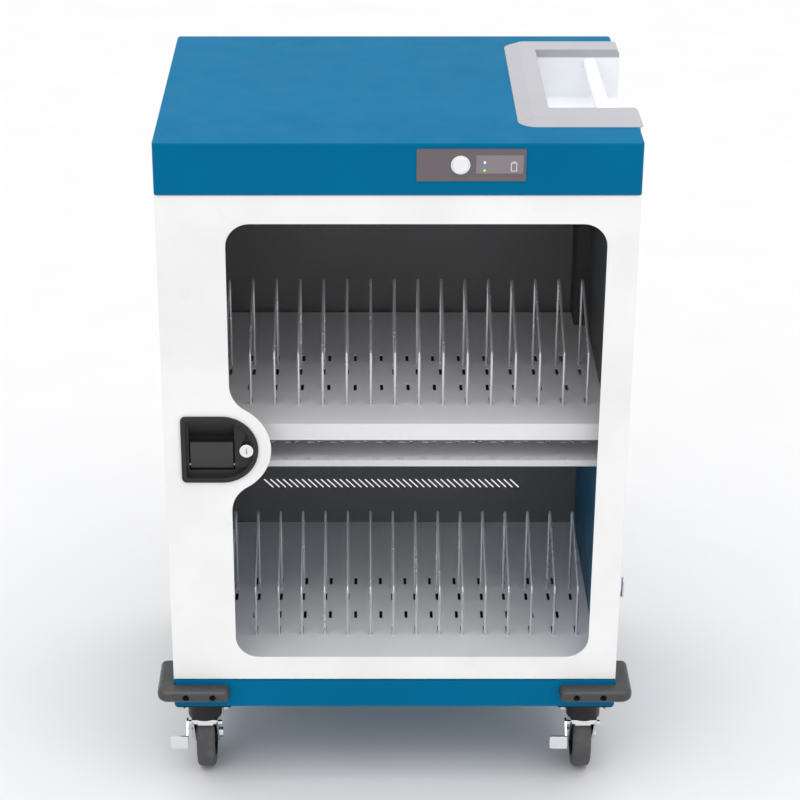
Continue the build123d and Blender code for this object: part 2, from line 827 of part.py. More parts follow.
# Hinge pins: headed pins that stand out of the door's top and bottom flanges
pin_reach = door_end_gap + sheet + hinge_bracket_height
with BuildPart() as hinge_pins:
    for level, way in ((door_top, 1), (door_bottom, -1)):
        with BuildSketch(Plane.XY.offset(level - way * sheet)):
            with Locations((hinge_x, hinge_y)):
                Circle(hinge_head_radius)
        extrude(amount=-way * hinge_head_height)
        with BuildSketch(Plane.XY.offset(level - way * sheet)):
            with Locations((hinge_x, hinge_y)):
                Circle(hinge_pin_radius)
        extrude(amount=way * (pin_reach + sheet))
save(hinge_pins, "hinge_pins")

with BuildPart() as hinge_brackets:
    for level, way in ((floor_top, 1), (base_top - sheet, -1)):
        with BuildSketch(Plane.XY.offset(level)):
            with Locations((hinge_x, hinge_y)):
                RectangleRounded(hinge_bracket_width, hinge_bracket_width, hinge_bracket_corner)
                Circle(hinge_pin_radius + running_fit, mode=Mode.SUBTRACT)
        extrude(amount=way * hinge_bracket_height)
save(hinge_brackets, "hinge_brackets")

# Lock housing: a raised rim round a dish, with the finger pocket, the key's bore and the bolt's guide
with BuildPart() as lock_housing:
    extrude(lock_face(door_front, 0), amount=lock_proud)
    extrude(lock_face(door_front, lock_body_inset), amount=-lock_body_depth)
    extrude(lock_face(lock_front, lock_rim), amount=-lock_dish, mode=Mode.SUBTRACT)
    # The lower part of the dish is deeper, below the paddle
    with BuildSketch(upright(dish_y)) as deep_part:
        add(lock_face(dish_y, lock_rim))
        with Locations((lock_centre_x, lock_z - deep_dish_drop + lock_height / 2)):
            Rectangle(2 * lock_width, lock_height, mode=Mode.SUBTRACT)
    extrude(amount=-lock_dish, mode=Mode.SUBTRACT)
    pocket_right = (paddle_left + paddle_right + finger_pocket_width) / 2
    pocket_x = pocket_right - finger_pocket_width
    block(pocket_x, pocket_right, lock_front, lock_front + finger_pocket_depth,
          paddle_pin_z - paddle_knuckle_radius - finger_pocket_play, paddle_top, Mode.SUBTRACT)
    # Scoop that leads the fingers in behind the paddle's top edge
    with BuildSketch(Plane.YZ.offset(pocket_x)):
        with BuildLine():
            Polyline((lock_front, paddle_top - cut_over), (lock_front, paddle_top + finger_scoop_height),
                     (dish_y, paddle_top + finger_scoop_height),
                     (lock_front + finger_pocket_depth, paddle_top + finger_scoop_mouth),
                     (lock_front + finger_pocket_depth, paddle_top - cut_over), close=True)
        make_face()
    extrude(amount=finger_pocket_width, mode=Mode.SUBTRACT)
    # Hollow above the key
    with BuildSketch(upright(dish_y)):
        with BuildLine():
            Polyline((key_x, key_z + key_hollow_rise), (key_x - key_hollow_half_width, key_z),
                     (key_x + key_hollow_half_width, key_z), close=True)
        make_face()
    extrude(amount=-key_hollow_depth, mode=Mode.SUBTRACT)
    with BuildSketch(upright(lock_front)):
        with Locations((key_x, key_z)):
            Circle(key_radius + running_fit)
    extrude(amount=-(lock_back - lock_front), mode=Mode.SUBTRACT)
    with BuildSketch(Plane.YZ.offset(paddle_left - paddle_pin_overhang - cut_over)):
        with Locations((paddle_pin_y, paddle_pin_z)):
            Circle(paddle_pin_radius + running_fit)
    extrude(amount=paddle_width + 2 * (paddle_pin_overhang + cut_over), mode=Mode.SUBTRACT)
    # Pad and two rails that guide the bolt behind the housing
    guide_left = lock_left + lock_body_inset + 1
    guide_right = guide_left + 3 * bolt_height
    block(guide_left, guide_right, lock_back, bolt_front - clearance,
          key_z - bolt_height, key_z + bolt_height)
    for way in (-1, 1):
        block(guide_left, guide_right, lock_back, bolt_back,
              key_z + way * (bolt_height / 2 + clearance), key_z + way * bolt_height)
save(lock_housing, "lock_housing")

# Paddle: a plate that stands flush in the dish and turns on a pin at its foot
with BuildPart() as paddle:
    with BuildSketch(Plane.YZ.offset(paddle_left)) as section:
        with BuildLine():
            Line((paddle_front, paddle_pin_z + paddle_flare_height),
                 (paddle_front + paddle_thickness, paddle_pin_z + paddle_flare_height))
            CenterArc((paddle_pin_y, paddle_pin_z), paddle_knuckle_radius, 0, 360)
        make_hull()
        with Locations((paddle_front + paddle_thickness / 2,
                        (paddle_top - clearance + paddle_pin_z + paddle_flare_height) / 2)):
            Rectangle(paddle_thickness,
                      paddle_top - clearance - paddle_pin_z - paddle_flare_height)
        with Locations((paddle_pin_y, paddle_pin_z)):
            Circle(paddle_pin_radius + running_fit, mode=Mode.SUBTRACT)
    extrude(amount=paddle_width)
save(paddle, "paddle")

with BuildPart() as paddle_pin:
    with BuildSketch(Plane.YZ.offset(paddle_left - paddle_pin_overhang)):
        with Locations((paddle_pin_y, paddle_pin_z)):
            Circle(paddle_pin_radius)
    extrude(amount=paddle_width + 2 * paddle_pin_overhang)
save(paddle_pin, "paddle_pin")

# Key cylinder with the crank that throws the bolt
with BuildPart() as key_cylinder:
    key_front = dish_y - key_proud
    with BuildSketch(upright(key_front)):
        with Locations((key_x, key_z)):
            Circle(key_radius)
    extrude(amount=-(lock_back + clearance - key_front))
    fillet(key_cylinder.faces().sort_by(Axis.Y)[0].edges(), key_edge_radius)
    with BuildSketch(upright(key_front)):
        with Locations((key_x, key_z)):
            Rectangle(key_slit_width, key_slit_height)
    extrude(amount=-key_slit_depth, mode=Mode.SUBTRACT)
    with BuildSketch(upright(lock_back + clearance)):
        with Locations((key_x, key_z)):
            Circle(crank_radius + crank_pin_radius)
    extrude(amount=-crank_disc_thickness)
    with BuildSketch(upright(lock_back + clearance)):
        with Locations((key_x + bolt_throw / 2, key_z + sqrt(crank_radius ** 2 - (bolt_throw / 2) ** 2))):
            Circle(crank_pin_radius)
    extrude(amount=-(bolt_back - lock_back - clearance))
save(key_cylinder, "key_cylinder")

# Bolt: drawn back at rest, thrown behind the strike plate by the key
with BuildPart() as latch_bolt:
    bolt_end = key_x + bolt_throw / 2 + bolt_end_margin
    crank_lift = crank_radius - sqrt(crank_radius ** 2 - (bolt_throw / 2) ** 2)
    block(bolt_tip, bolt_end, bolt_front, bolt_back, key_z - bolt_height / 2, key_z + bolt_height / 2)
    block(key_x + bolt_throw / 2 - bolt_end_margin, bolt_end, bolt_front, bolt_back,
          key_z - bolt_height / 2, key_z + bolt_end_height / 2)
    with BuildSketch(upright(bolt_front)):
        with Locations((key_x + bolt_throw / 2, key_z + crank_radius - crank_lift / 2)):
            SlotCenterToCenter(crank_lift, 2 * (crank_pin_radius + bolt_slot_play), rotation=90)
    extrude(amount=-bolt_thickness, mode=Mode.SUBTRACT)
save(latch_bolt, "latch_bolt")

with BuildPart() as strike_plate:
    block(-liner_x - sheet, -liner_x - strike_width, body_front + sheet, strike_back,
          key_z - strike_height / 2, key_z + strike_height / 2)
save(strike_plate, "strike_plate")

# Corner bumpers: an angle round each corner of the base, with recessed screws
bumper_bottom = base_top - bumper_drop - bumper_height
screw_z = bumper_bottom + bumper_height / 2
with BuildPart() as corner_bumpers:
    for side, end in corners.values():
        corner_x = side * half_width
        corner_y = end * cabinet_depth / 2
        outer_x = corner_x + side * bumper_proud
        outer_y = corner_y + end * bumper_proud
        leg_x = corner_x - side * bumper_front_leg
        leg_y = corner_y - end * bumper_side_leg
        with BuildSketch(Plane.XY.offset(bumper_bottom)) as plan:
            with BuildLine():
                Polyline((leg_x, corner_y), (leg_x, outer_y), (outer_x, outer_y), (outer_x, leg_y),
                         (corner_x, leg_y), (corner_x, corner_y), close=True)
            make_face()
            fillet(plan.vertices().sort_by_distance((outer_x, outer_y, bumper_bottom))[0],
                   bumper_corner_radius)
            fillet([plan.vertices().sort_by_distance((leg_x, outer_y, bumper_bottom))[0],
                    plan.vertices().sort_by_distance((outer_x, leg_y, bumper_bottom))[0]],
                   bumper_end_radius)
        extrude(amount=bumper_height)
    # Only the outer edges are rounded: the inner ones lie against the base
    outer_edges = corner_bumpers.faces().filter_by(Axis.Z).edges().filter_by(
        lambda edge: abs(edge.center().X) > half_width + cut_over
        or abs(edge.center().Y) > cabinet_depth / 2 + cut_over
    )
    fillet(outer_edges, bumper_edge_radius)
    for side, end in corners.values():
        for inset in bumper_screw_places:
            screw_x = side * (half_width - inset)
            screw_y = end * (cabinet_depth / 2 - inset)
            with BuildSketch(upright(end * (cabinet_depth / 2 + bumper_proud))):
                with Locations((screw_x, screw_z)):
                    Circle(screw_recess_radius)
            extrude(amount=end * screw_recess_depth, mode=Mode.SUBTRACT)
            with BuildSketch(upright(end * (cabinet_depth / 2 + bumper_proud))):
                with Locations((screw_x, screw_z)):
                    Circle(screw_shank_radius + running_fit)
            extrude(amount=end * bumper_proud, mode=Mode.SUBTRACT)
            with BuildSketch(Plane.YZ.offset(side * (half_width + bumper_proud))):
                with Locations((screw_y, screw_z)):
                    Circle(screw_recess_radius)
            extrude(amount=-side * screw_recess_depth, mode=Mode.SUBTRACT)
            with BuildSketch(Plane.YZ.offset(side * (half_width + bumper_proud))):
                with Locations((screw_y, screw_z)):
                    Circle(screw_shank_radius + running_fit)
            extrude(amount=-side * bumper_proud, mode=Mode.SUBTRACT)
save(corner_bumpers, "corner_bumpers")

with BuildPart() as bumper_screws:
    seat = bumper_proud - screw_recess_depth
    for side, end in corners.values():
        for inset in bumper_screw_places:
            screw_x = side * (half_width - inset)
            screw_y = end * (cabinet_depth / 2 - inset)
            with BuildSketch(upright(end * (cabinet_depth / 2 + seat))):
                with Locations((screw_x, screw_z)):
                    Circle(screw_head_radius)
                    RegularPolygon(screw_shank_radius, 6, mode=Mode.SUBTRACT)
            extrude(amount=-end * screw_head_height)
            with BuildSketch(upright(end * (cabinet_depth / 2 + seat))):
                with Locations((screw_x, screw_z)):
                    Circle(screw_shank_radius)
            extrude(amount=-end * screw_socket_floor)
            with BuildSketch(upright(end * (cabinet_depth / 2 + seat))):
                with Locations((screw_x, screw_z)):
                    Circle(screw_shank_radius)
            extrude(amount=end * screw_shank_length)
            with BuildSketch(Plane.YZ.offset(side * (half_width + seat))):
                with Locations((screw_y, screw_z)):
                    Circle(screw_head_radius)
                    RegularPolygon(screw_shank_radius, 6, mode=Mode.SUBTRACT)
            extrude(amount=side * screw_head_height)
            with BuildSketch(Plane.YZ.offset(side * (half_width + seat))):
                with Locations((screw_y, screw_z)):
                    Circle(screw_shank_radius)
            extrude(amount=side * screw_socket_floor)
            with BuildSketch(Plane.YZ.offset(side * (half_width + seat))):
                with Locations((screw_y, screw_z)):
                    Circle(screw_shank_radius)
            extrude(amount=-side * screw_shank_length)
save(bumper_screws, "bumper_screws")

# Cord hook: a bent strip on the right side
with BuildPart() as cord_hook:
    hook_y = front + hook_setback
    hook_z = base_top + hook_rise
    hook_out = half_width + hook_reach
    block(half_width, half_width + hook_thickness, hook_y - hook_width / 2, hook_y + hook_width / 2,
          hook_z - hook_height / 2, hook_z + hook_height / 2)
    block(half_width, hook_out, hook_y - hook_width / 2, hook_y + hook_width / 2,
          hook_z - hook_height / 2, hook_z - hook_height / 2 + hook_thickness)
    block(hook_out, hook_out - hook_thickness, hook_y - hook_width / 2, hook_y + hook_width / 2,
          hook_z - hook_height / 2, hook_z + hook_height / 2)
    fillet(cord_hook.edges().filter_by(Axis.X).group_by(Axis.Z)[-1], hook_thickness)
save(cord_hook, "cord_hook")

# Caster plates: bolted plate, swivel bowl and kingpin
plate_bottom = base_bottom - plate_thickness
fork_top = 2 * wheel_radius + wheel_headroom
brake_shaft_height = wheel_radius + sqrt(
    (wheel_radius + brake_shaft_gap) ** 2 - (caster_trail + brake_shaft_forward) ** 2
)
with BuildPart() as caster_plates:
    for place, x, y, wheel_y in caster_places():
        with BuildSketch(Plane.XY.offset(plate_bottom)):
            with Locations((x, y)):
                RectangleRounded(plate_length, plate_width, plate_corner_radius)
                with GridLocations(plate_hole_spacing_x, plate_hole_spacing_y, 2, 2):
                    Circle(plate_bolt_radius + running_fit, mode=Mode.SUBTRACT)
        extrude(amount=plate_thickness)
        with BuildSketch(Plane.XY.offset(plate_bottom)):
            with Locations((x, y)):
                Circle(bowl_radius)
        extrude(amount=-(plate_bottom - fork_top - clearance))
        with BuildSketch(Plane.XY.offset(plate_bottom)):
            with Locations((x, y)):
                Circle(kingpin_radius)
        extrude(amount=-(plate_bottom - fork_top + fork_top_thickness + clearance))
        with BuildSketch(Plane.XY.offset(fork_top - fork_top_thickness - clearance)):
            with Locations((x, y)):
                Circle(kingpin_head_radius)
        extrude(amount=-kingpin_head_height)
save(caster_plates, "caster_plates")

with BuildPart() as caster_bolts:
    for place, x, y, wheel_y in caster_places():
        with BuildSketch(Plane.XY.offset(plate_bottom)):
            with Locations((x, y)):
                with GridLocations(plate_hole_spacing_x, plate_hole_spacing_y, 2, 2):
                    RegularPolygon(plate_bolt_head_radius, 6)
        extrude(amount=-plate_bolt_head_height)
        with BuildSketch(Plane.XY.offset(plate_bottom)):
            with Locations((x, y)):
                with GridLocations(plate_hole_spacing_x, plate_hole_spacing_y, 2, 2):
                    Circle(plate_bolt_radius)
        extrude(amount=plate_thickness + plate_bolt_reach)
save(caster_bolts, "caster_bolts")

half_fork = wheel_width / 2 + fork_gap
hub_half = half_fork - clearance
for place, x, y, wheel_y in caster_places():
    braked = place.startswith("front")
    shaft_y = y - brake_shaft_forward
    # Fork: a top plate on the kingpin and two legs down to the axle
    with BuildPart() as fork:
        with BuildSketch(Plane.XY.offset(fork_top - fork_top_thickness)):
            with Locations((x, y)):
                RectangleRounded(2 * (half_fork + fork_thickness), 2 * fork_half_length, fork_corner_radius)
                Circle(kingpin_radius + running_fit, mode=Mode.SUBTRACT)
        extrude(amount=fork_top_thickness)
        for leg_x in (x - half_fork - fork_thickness, x + half_fork):
            with BuildSketch(Plane.YZ.offset(leg_x)):
                with BuildLine():
                    Line((y - fork_half_length, fork_top), (y + fork_half_length, fork_top))
                    CenterArc((wheel_y, wheel_radius), fork_end_radius, 0, 360)
                make_hull()
                with Locations((wheel_y, wheel_radius)):
                    Circle(axle_radius + running_fit, mode=Mode.SUBTRACT)
                if braked:
                    with Locations((shaft_y, brake_shaft_height)):
                        Circle(brake_shaft_radius + running_fit, mode=Mode.SUBTRACT)
            extrude(amount=fork_thickness)
    save(fork, f"fork_{place}")

    with BuildPart() as tyre:
        with BuildSketch(Plane.YZ.offset(x - wheel_width / 2)):
            with Locations((wheel_y, wheel_radius)):
                Circle(wheel_radius)
        extrude(amount=wheel_width)
        fillet(tyre.edges().filter_by(GeomType.CIRCLE), tread_radius)
        with BuildSketch(Plane.YZ.offset(x - wheel_width / 2)):
            with Locations((wheel_y, wheel_radius)):
                Circle(wheel_radius - tread_thickness)
        extrude(amount=wheel_width, mode=Mode.SUBTRACT)
    save(tyre, f"tyre_{place}")

    rim_radius = wheel_radius - tread_thickness
    with BuildPart() as wheel_hub:
        with BuildSketch(Plane.YZ.offset(x - wheel_width / 2)):
            with Locations((wheel_y, wheel_radius)):
                Circle(rim_radius)
        extrude(amount=wheel_width)
        for face_x, way in ((x - wheel_width / 2, 1), (x + wheel_width / 2, -1)):
            with BuildSketch(Plane.YZ.offset(face_x)):
                with Locations((wheel_y, wheel_radius)):
                    Circle(rim_radius - hub_rim)
            extrude(amount=way * (wheel_width - hub_web) / 2, mode=Mode.SUBTRACT)
        with BuildSketch(Plane.YZ.offset(x - hub_half)):
            with Locations((wheel_y, wheel_radius)):
                Circle(hub_boss_radius)
        extrude(amount=2 * hub_half)
        with BuildSketch(Plane.YZ.offset(x - hub_half)):
            with Locations((wheel_y, wheel_radius)):
                Circle(axle_radius + running_fit)
        extrude(amount=2 * hub_half, mode=Mode.SUBTRACT)
    save(wheel_hub, f"hub_{place}")

    axle_half = half_fork + fork_thickness
    with BuildPart() as axle:
        with BuildSketch(Plane.YZ.offset(x - axle_half)):
            with Locations((wheel_y, wheel_radius)):
                Circle(axle_radius)
        extrude(amount=2 * axle_half)
        for head_x, way in ((x - axle_half, -1), (x + axle_half, 1)):
            with BuildSketch(Plane.YZ.offset(head_x)):
                with Locations((wheel_y, wheel_radius)):
                    RegularPolygon(axle_head_radius, 6)
            extrude(amount=way * axle_head_length)
    save(axle, f"axle_{place}")

    if braked:
        # Brake: a shaft through the fork with a cam over the tyre, and a lever at its left end
        lever_x = x - axle_half - axle_head_length - 2 * clearance - brake_plate
        towards_wheel = atan2(wheel_radius - brake_shaft_height, wheel_y - shaft_y)
        cam_angle = towards_wheel - radians(brake_cam_turn)
        with BuildPart() as brake_lever:
            with BuildSketch(Plane.YZ.offset(lever_x)):
                with Locations((shaft_y, brake_shaft_height)):
                    Circle(brake_shaft_radius)
            extrude(amount=x + axle_half + 2 * brake_plate - lever_x)
            with BuildSketch(Plane.YZ.offset(x - wheel_width / 2 + brake_cam_inset)):
                with BuildLine():
                    CenterArc((shaft_y, brake_shaft_height), brake_shaft_radius, 0, 360)
                    CenterArc((shaft_y + brake_cam_offset * cos(cam_angle),
                               brake_shaft_height + brake_cam_offset * sin(cam_angle)),
                              brake_cam_radius, 0, 360)
                make_hull()
            extrude(amount=wheel_width - 2 * brake_cam_inset)
            with BuildSketch(Plane.YZ.offset(lever_x)):
                with BuildLine():
                    CenterArc((shaft_y, brake_shaft_height), brake_arm_radius, 0, 360)
                    CenterArc((shaft_y - brake_arm_forward, brake_shaft_height - brake_arm_drop),
                              brake_arm_radius, 0, 360)
                make_hull()
            extrude(amount=brake_plate)
            tongue_y = shaft_y - brake_arm_forward - brake_arm_radius
            tongue_z = brake_shaft_height - brake_arm_drop
            block(lever_x + brake_plate, lever_x + brake_plate - brake_tongue_width,
                  tongue_y, tongue_y + brake_plate,
                  tongue_z - brake_tongue_height / 2, tongue_z + brake_tongue_height / 2)
            fillet(brake_lever.edges().filter_by(Axis.Y).group_by(Axis.X)[0], brake_tongue_radius)
        save(brake_lever, f"brake_lever_{place}")
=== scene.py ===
from math import cos, pi, radians, sin

import bmesh
import bpy
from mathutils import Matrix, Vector


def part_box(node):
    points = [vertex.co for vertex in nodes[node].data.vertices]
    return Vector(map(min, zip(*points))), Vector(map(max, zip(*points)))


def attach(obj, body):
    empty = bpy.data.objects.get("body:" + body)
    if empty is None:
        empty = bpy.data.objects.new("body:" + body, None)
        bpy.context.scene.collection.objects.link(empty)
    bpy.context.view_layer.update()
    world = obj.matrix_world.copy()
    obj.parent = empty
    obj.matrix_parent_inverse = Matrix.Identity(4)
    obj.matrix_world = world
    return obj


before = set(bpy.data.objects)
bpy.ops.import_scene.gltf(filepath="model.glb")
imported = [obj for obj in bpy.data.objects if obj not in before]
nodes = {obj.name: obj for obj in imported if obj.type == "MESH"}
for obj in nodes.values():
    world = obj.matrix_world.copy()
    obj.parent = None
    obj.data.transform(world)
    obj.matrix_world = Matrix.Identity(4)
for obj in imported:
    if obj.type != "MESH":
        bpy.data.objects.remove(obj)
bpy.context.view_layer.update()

# Camera, at the photograph's viewing angle: place in metres, pitch in degrees, sensor and lens in
# millimetres, shift as a share of the picture
CAMERA_PLACE = (-0.045, -3.1512, 2.0211)
CAMERA_PITCH = 25.47
SENSOR_WIDTH = 36.0
LENS = 104.65
SHIFT_X = 0.0451

# Light: strengths, powers in watts, places and sizes in metres, angles in degrees
SKY_COLOUR = (1.0, 1.0, 1.0, 1.0)
SKY_STRENGTH = 0.88
HIGH_STRENGTH = 1.9
HIGH_TILT = 7.0
HIGH_SPREAD = 70.0
PANEL_AIM = (0.0, 0.0, 0.5)
KEY_PLACE = (-1.8, -2.6, 2.6)
KEY_SIZE = 1.2
KEY_POWER = 8
FILL_PLACE = (2.4, -2.2, 1.4)
FILL_SIZE = 1.4
FILL_POWER = 4
FLOOR_SIZE = 30

# Colours, as they look on the object, in 0 to 255
BLUE = (0, 101, 142)
BLUE_WORN = (40, 122, 160)
LINER_DARK = (92, 94, 98)
WHITE = (233, 233, 233)
SHELF = (232, 232, 234)
TRAY = (214, 214, 216)
DARK_WALL = (122, 122, 124)
DUCT = (74, 74, 76)
LABEL = (104, 96, 100)
INSERT = (132, 124, 128)
MARK = (214, 214, 216)
BUMPER = (58, 58, 60)
LOCK = (44, 44, 45)
LOCK_WORN = (96, 96, 98)
PADDLE = (60, 60, 61)
PADDLE_WORN = (104, 104, 106)
CASTER_BLACK = (34, 34, 36)
TYRE = (72, 72, 75)
HANDLE = (168, 168, 174)
# Near-white below the handle's rim: partly the pale pocket, partly a painted highlight on the
# front and side bevels; the grip bar takes it too
HANDLE_PALE_AND_HIGHLIGHT = (236, 238, 242)
SCREW_BLACK = (30, 30, 31)
CHROME = (232, 232, 234)
ZINC = (206, 206, 208)
BUTTON = (228, 228, 229)
BOARD = (18, 88, 48)
DUST = (120, 116, 110)
FLOOR = (214, 214, 215)
LAMPS = [(250, 250, 250), (60, 130, 235), (190, 225, 60)]

# Fine grain: waves per metre, detail, height in metres, and its stretch along X, Y and Z
POWDER_GRAIN = 1500.0
MOULD_GRAIN = 2600.0
BRUSH_GRAIN = 900.0
GRAIN_DETAIL = 2.0
GRAIN_HEIGHT = 0.0002
EVEN = (1, 1, 1)
BRUSHED = (1.0, 0.05, 1.0)

# Patchy noises: waves per metre, detail, and the noise values where a patch begins and is full
BROAD_PATCHES = (6.0, 3.0, 0.3, 0.7)
WORN_PATCHES = (60.0, 3.0, 0.45, 0.7)
SMEARS = (22.0, 4.0, 0.3, 0.7)
DUST_PATCHES = (35.0, 5.0, 0.5, 0.75)
PANE_DUST = (9.0, 6.0, 0.4, 0.8)
PANE_SMEARS = (30.0, 3.0, 0.3, 0.7)

# Edges: the radius that softens them, in metres, and the cosines where wear begins and is full
EDGE_RADIUS = 0.0006
EDGE_BEGINS = 0.995
EDGE_FULL = 0.85
EDGE_SAMPLES = 4

# Shader values of single finishes
SPECULAR = 0.22
BLUE_SPECULAR = 0.03
RUBBER_SPECULAR = 0.45
COAT_DEPTH = 0.1
COAT_SPREAD = 0.05
COAT_DUST = 0.12
RUBBER_DEPTH = 0.35
RUBBER_SPREAD = 0.12
PLATED_SPREAD = 0.4  # as a share of the roughness
PANE_TINT = (0.02, 0.022, 0.022, 1.0)
PANE_ALPHA = (0.03, 0.05)
PANE_ROUGHNESS = (0.03, 0.12)
LAMP_GLOW = 0.35

# Sizes in metres: half the width over which two colours of one piece meet, the height of the
# handle's rim that takes the rim's colour (below it, the pale colour with the painted bevel
# highlight), and the radius of a status lamp
COAT_MEETS = 0.001
LAMP_MEETS = 0.0001
HANDLE_RIM = 0.003
LAMP_RADIUS = 0.0016

# Battery mark, in metres: its place on the display insert, and its three outlines
MARK_INSET = 0.0127
MARK_DROP = 0.0035
MARK_LIFT = 0.0002
BATTERY_SIZE = (0.0084, 0.0125)
BATTERY_CORNER = 0.0012
TIP_RISE = 0.0070
TIP_SIZE = (0.0036, 0.0013)
TIP_CORNER = 0.0004
INSIDE_SIZE = (0.0058, 0.0098)
INSIDE_CORNER = 0.0006

# Colour sockets of a Mix node, whose names are the same for each type of data
MIX_FIRST, MIX_SECOND, MIX_RESULT = 6, 7, 2


def linear(colour):
    """A colour of 0 to 255 as the linear values that a shader takes, by the sRGB curve."""
    parts = [part / 255 for part in colour]
    return [part / 12.92 if part <= 0.04045 else ((part + 0.055) / 1.055) ** 2.4
            for part in parts] + [1.0]


class Finish:
    """Builds one procedural material, node by node, round a Principled shader."""

    def __init__(self, name, roughness, metallic=0.0, specular=SPECULAR):
        self.material = bpy.data.materials.new(name)
        self.material.use_nodes = True
        self.tree = self.material.node_tree
        self.shader = self.tree.nodes["Principled BSDF"]
        self.set("Roughness", roughness)
        self.set("Metallic", metallic)
        self.set("Specular IOR Level", specular)
        self.roughness = roughness
        self.place = self.add("ShaderNodeTexCoord").outputs["Object"]

    def add(self, kind, **settings):
        node = self.tree.nodes.new(kind)
        for name, value in settings.items():
            setattr(node, name, value)
        return node

    def link(self, output, socket):
        self.tree.links.new(output, socket)

    def set(self, socket_name, value):
        """Gives one input of the shader a fixed value."""
        self.shader.inputs[socket_name].default_value = value

    def feed(self, output, socket_name):
        """Gives one input of the shader a node's output."""
        self.link(output, self.shader.inputs[socket_name])

    def noise(self, scale, detail, stretch=EVEN):
        """A noise value on the object's own coordinates, stretched along the axes."""
        mapping = self.add("ShaderNodeMapping")
        mapping.inputs["Scale"].default_value = stretch
        self.link(self.place, mapping.inputs["Vector"])
        noise = self.add("ShaderNodeTexNoise")
        noise.inputs["Scale"].default_value = scale
        noise.inputs["Detail"].default_value = detail
        self.link(mapping.outputs["Vector"], noise.inputs["Vector"])
        return noise.outputs["Fac"]

    def height(self):
        """The height above the floor, with the cart at rest."""
        parts = self.add("ShaderNodeSeparateXYZ")
        self.link(self.place, parts.inputs["Vector"])
        return parts.outputs["Z"]

    def span(self, value, from_low, from_high, low=0.0, high=1.0):
        """A value mapped from one range to another."""
        node = self.add("ShaderNodeMapRange")
        node.inputs["From Min"].default_value = from_low
        node.inputs["From Max"].default_value = from_high
        node.inputs["To Min"].default_value = low
        node.inputs["To Max"].default_value = high
        self.link(value, node.inputs["Value"])
        return node.outputs["Result"]

    def patches(self, kind, low=0.0, high=1.0):
        """A value that goes from low to high in patches of one kind."""
        scale, detail, begins, full = kind
        return self.span(self.noise(scale, detail), begins, full, low, high)

    def times(self, first, second):
        node = self.add("ShaderNodeMath", operation="MULTIPLY")
        self.link(first, node.inputs[0])
        self.link(second, node.inputs[1])
        return node.outputs["Value"]

    def mix(self, factor, first, second):
        """A colour between two, each a linear colour or a node's output."""
        node = self.add("ShaderNodeMix", data_type="RGBA")
        self.link(factor, node.inputs["Factor"])
        for value, number in ((first, MIX_FIRST), (second, MIX_SECOND)):
            if isinstance(value, list):
                node.inputs[number].default_value = value
            else:
                self.link(value, node.inputs[number])
        return node.outputs[MIX_RESULT]

    def soften_edges(self):
        """The normal with softened edges. The edge mask is 1 at sharp edges and 0 on faces."""
        bevel = self.add("ShaderNodeBevel", samples=EDGE_SAMPLES)
        bevel.inputs["Radius"].default_value = EDGE_RADIUS
        true_normal = self.add("ShaderNodeNewGeometry").outputs["Normal"]
        cosine = self.add("ShaderNodeVectorMath", operation="DOT_PRODUCT")
        self.link(bevel.outputs["Normal"], cosine.inputs[0])
        self.link(true_normal, cosine.inputs[1])
        self.edge_mask = self.span(cosine.outputs["Value"], EDGE_BEGINS, EDGE_FULL)
        return bevel.outputs["Normal"]

    def surface(self, grain, depth, stretch=EVEN, spread=0.08):
        """Fine bump over softened edges, and roughness that wanders a little."""
        soft_normal = self.soften_edges()
        bump = self.add("ShaderNodeBump")
        bump.inputs["Strength"].default_value = depth
        bump.inputs["Distance"].default_value = GRAIN_HEIGHT
        self.link(self.noise(grain, GRAIN_DETAIL, stretch), bump.inputs["Height"])
        self.link(soft_normal, bump.inputs["Normal"])
        self.feed(bump.outputs["Normal"], "Normal")
        self.feed(self.patches(SMEARS, self.roughness - spread, self.roughness + spread),
                  "Roughness")

    def colour(self, base, variation, worn=None, wear=0.35):
        """Base colour with patches a little lighter and darker. Wear needs the edge mask."""
        light = [min(1.0, part * (1 + variation)) for part in base[:3]] + [1.0]
        dark = [part * (1 - variation) for part in base[:3]] + [1.0]
        painted = self.mix(self.patches(BROAD_PATCHES), dark, light)
        if worn is not None:
            rubbed = self.times(self.edge_mask, self.patches(WORN_PATCHES, high=wear))
            painted = self.mix(rubbed, painted, worn)
        self.feed(painted, "Base Color")
        return painted


def powder_coat(name, colour, roughness, worn=DUST, specular=SPECULAR):
    finish = Finish(name, roughness, specular=specular)
    finish.surface(POWDER_GRAIN, COAT_DEPTH, spread=COAT_SPREAD)
    finish.colour(linear(colour), variation=0.05, worn=linear(worn))
    return finish.material


def split_coat(name, low_colour, high_colour, split_z, roughness):
    """A coat that is one colour below a height and another above it."""
    finish = Finish(name, roughness)
    finish.surface(POWDER_GRAIN, COAT_DEPTH, spread=COAT_SPREAD)
    upper = finish.span(finish.height(), split_z - COAT_MEETS, split_z + COAT_MEETS)
    coat = finish.mix(upper, linear(low_colour), linear(high_colour))
    dusty = finish.patches(BROAD_PATCHES, high=COAT_DUST)
    finish.feed(finish.mix(dusty, coat, linear(DUST)), "Base Color")
    return finish.material


def moulded(name, colour, roughness, depth=0.3, worn=None):
    finish = Finish(name, roughness)
    finish.surface(MOULD_GRAIN, depth)
    finish.colour(linear(colour), variation=0.05, worn=linear(worn or colour))
    return finish.material


def rubber(name, colour, roughness, dust):
    """Rubber with a fine grain and patches of dust."""
    finish = Finish(name, roughness, specular=RUBBER_SPECULAR)
    finish.surface(MOULD_GRAIN, RUBBER_DEPTH, spread=RUBBER_SPREAD)
    clean = finish.colour(linear(colour), variation=0.08)
    dusty = finish.patches(DUST_PATCHES, high=dust)
    finish.feed(finish.mix(dusty, clean, linear(DUST)), "Base Color")
    return finish.material


